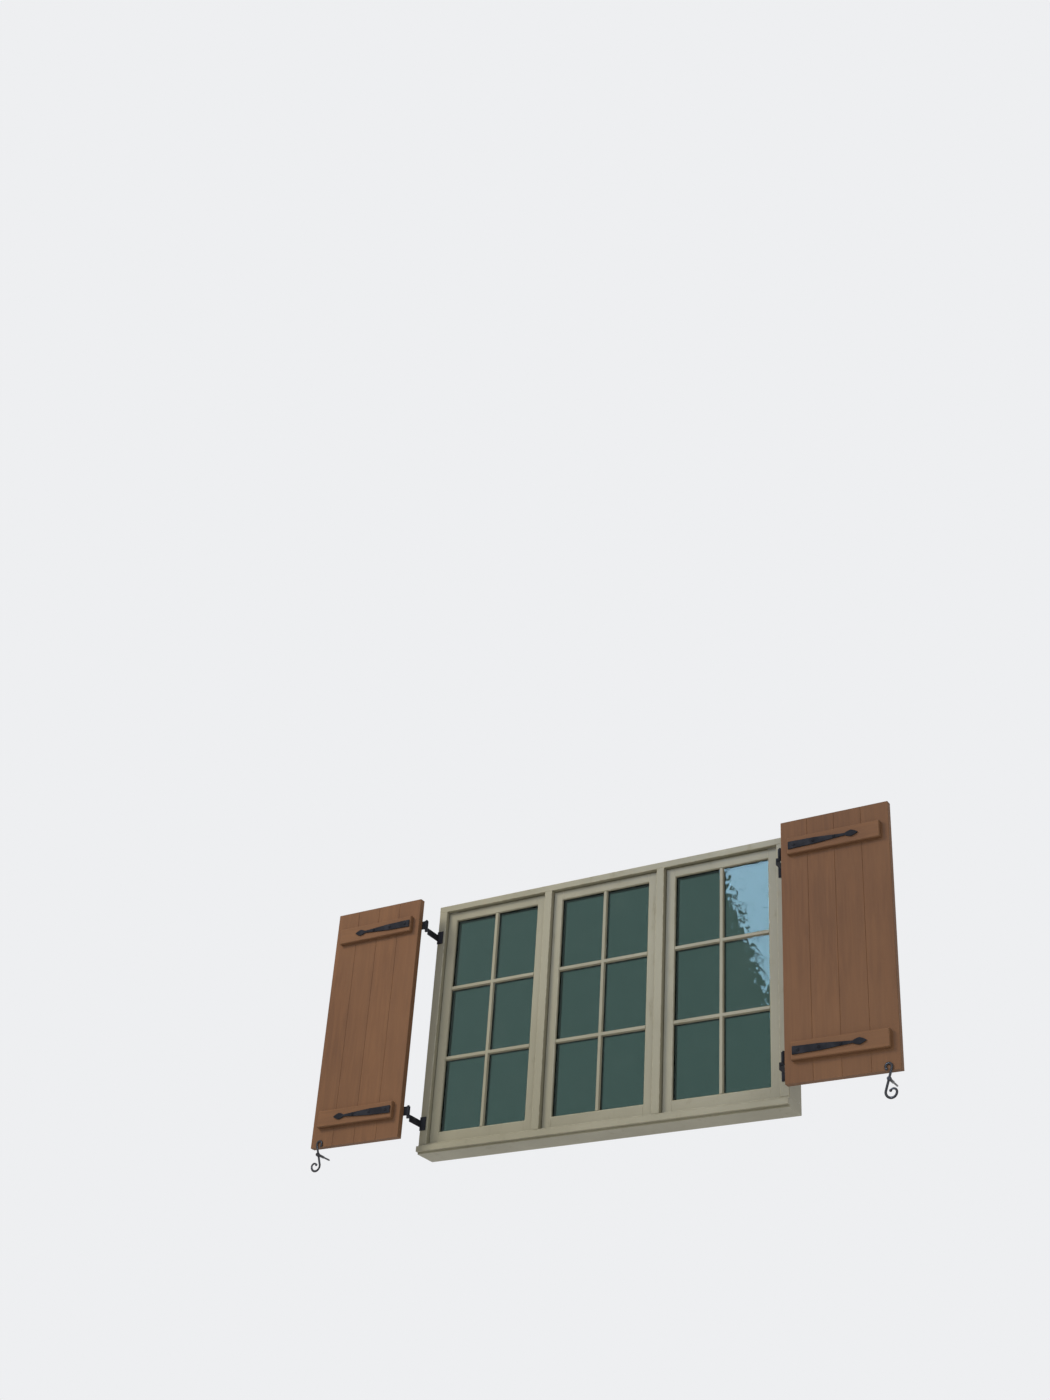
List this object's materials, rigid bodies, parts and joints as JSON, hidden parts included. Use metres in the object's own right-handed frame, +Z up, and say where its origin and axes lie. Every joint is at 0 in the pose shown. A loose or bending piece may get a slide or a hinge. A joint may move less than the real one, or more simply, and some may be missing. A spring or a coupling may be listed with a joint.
{
  "type": "triple casement window with shutters",
  "caption": "Row of casement sashes with glazing bars in a wooden frame, cranked open from indoors, flanked by board and batten shutters on pintles with iron straps and scroll holdbacks.",
  "frame": {"origin": "middle of the frame sill's underside, halfway through the frame's depth", "axes": "+X to the right as seen from outdoors, +Y into the building, +Z up"},
  "size_m": [2.754, 0.2815, 1.2435],
  "materials": {
    "painted_wood": "satin putty-coloured paint",
    "shutter_wood": "matt brown stain",
    "window_glass": "clear double glazing, reflective",
    "black_iron": "black painted wrought iron",
    "plain_steel": "plated",
    "hardware_finish": "satin paint",
    "seal_rubber": "matt",
    "packer_plastic": "matt"
  },
  "bodies": {
    "root": {"centre_sash_bottom_rail": "painted_wood", "centre_sash_glass": "window_glass", "centre_sash_glazing_bars": "painted_wood", "centre_sash_glazing_beads": "painted_wood", "centre_sash_left_stile": "painted_wood", "centre_sash_packers": "packer_plastic", "centre_sash_right_stile": "painted_wood", "centre_sash_top_rail": "painted_wood", "frame_head": "painted_wood", "frame_pivots": "plain_steel", "frame_sill": "painted_wood", "holdback_posts": "black_iron", "interior_stops": "painted_wood", "left_jamb": "painted_wood", "left_mullion": "painted_wood", "left_operator_body": "hardware_finish", "lock_bases": "hardware_finish", "pintle_brackets": "black_iron", "right_jamb": "painted_wood", "right_mullion": "painted_wood", "right_operator_body": "hardware_finish", "weatherstrips": "seal_rubber"},
    "left_sash": {"left_sash_hinge_stile": "painted_wood", "left_sash_lock_stile": "painted_wood", "left_sash_top_rail": "painted_wood", "left_sash_bottom_rail": "painted_wood", "left_sash_glass": "window_glass", "left_sash_glazing_bars": "painted_wood", "left_sash_glazing_beads": "painted_wood", "left_sash_pivot_plates": "plain_steel", "left_arm_track": "plain_steel", "left_lock_keeper": "hardware_finish"},
    "left_arm": {"left_operator_arm": "plain_steel"},
    "left_crank": {"left_crank_handle": "hardware_finish"},
    "left_lock": {"left_lock_lever": "hardware_finish"},
    "left_shutter": {"left_shutter_boards": "shutter_wood", "left_shutter_battens": "shutter_wood", "left_shutter_straps": "black_iron", "left_strap_screws": "black_iron", "left_shutter_hinges": "black_iron"},
    "left_dog": {"left_holdback": "black_iron"},
    "right_sash": {"right_sash_hinge_stile": "painted_wood", "right_sash_lock_stile": "painted_wood", "right_sash_top_rail": "painted_wood", "right_sash_bottom_rail": "painted_wood", "right_sash_glass": "window_glass", "right_sash_glazing_bars": "painted_wood", "right_sash_glazing_beads": "painted_wood", "right_sash_pivot_plates": "plain_steel", "right_arm_track": "plain_steel", "right_lock_keeper": "hardware_finish"},
    "right_arm": {"right_operator_arm": "plain_steel"},
    "right_crank": {"right_crank_handle": "hardware_finish"},
    "right_lock": {"right_lock_lever": "hardware_finish"},
    "right_shutter": {"right_shutter_boards": "shutter_wood", "right_shutter_battens": "shutter_wood", "right_shutter_straps": "black_iron", "right_strap_screws": "black_iron", "right_shutter_hinges": "black_iron"},
    "right_dog": {"right_holdback": "black_iron"}
  },
  "joints": [
    {"name": "left_sash_swing", "type": "hinge", "parent": "root", "child": "left_sash", "pos_m": [-0.819, -0.029, 0.596], "axis": [0, 0, 1], "range_deg": [-75, 0]},
    {"name": "left_arm_swing", "type": "hinge", "parent": "root", "child": "left_arm", "pos_m": [-0.629, -0.029, 0.045], "axis": [0, 0, 1], "range_deg": [-150, 0]},
    {"name": "left_crank_turn", "type": "hinge", "parent": "root", "child": "left_crank", "pos_m": [-0.629, 0.0485, 0.0605], "axis": [0, 0.7071, 0.7071], "range_deg": [-3600, 0]},
    {"name": "left_lock_turn", "type": "hinge", "parent": "root", "child": "left_lock", "pos_m": [-0.309, 0.025, 0.46], "axis": [0, -1, 0], "range_deg": [0, 90]},
    {"name": "left_shutter_swing", "type": "hinge", "parent": "root", "child": "left_shutter", "pos_m": [-0.88825, -0.14, 0.6], "axis": [0, 0, 1], "range_deg": [0, 180]},
    {"name": "left_holdback_turn", "type": "hinge", "parent": "root", "child": "left_dog", "pos_m": [-1.328, -0.177, 0.013], "axis": [0, -1, 0], "range_deg": [0, 90]},
    {"name": "right_sash_swing", "type": "hinge", "parent": "root", "child": "right_sash", "pos_m": [0.819, -0.029, 0.596], "axis": [0, 0, 1], "range_deg": [0, 75]},
    {"name": "right_arm_swing", "type": "hinge", "parent": "root", "child": "right_arm", "pos_m": [0.629, -0.029, 0.045], "axis": [0, 0, 1], "range_deg": [0, 150]},
    {"name": "right_crank_turn", "type": "hinge", "parent": "root", "child": "right_crank", "pos_m": [0.629, 0.0485, 0.0605], "axis": [0, 0.7071, 0.7071], "range_deg": [0, 3600]},
    {"name": "right_lock_turn", "type": "hinge", "parent": "root", "child": "right_lock", "pos_m": [0.309, 0.025, 0.46], "axis": [0, -1, 0], "range_deg": [-90, 0]},
    {"name": "right_shutter_swing", "type": "hinge", "parent": "root", "child": "right_shutter", "pos_m": [0.88825, -0.14, 0.6], "axis": [0, 0, 1], "range_deg": [-180, 0]},
    {"name": "right_holdback_turn", "type": "hinge", "parent": "root", "child": "right_dog", "pos_m": [1.328, -0.177, 0.013], "axis": [0, 1, 0], "range_deg": [0, 90]}
  ],
  "couplings": [
    {"joint": "left_arm_swing", "follows": "left_sash_swing", "ratio": 2},
    {"joint": "left_crank_turn", "follows": "left_sash_swing", "ratio": 48},
    {"joint": "right_arm_swing", "follows": "right_sash_swing", "ratio": 2},
    {"joint": "right_crank_turn", "follows": "right_sash_swing", "ratio": 48}
  ]
}
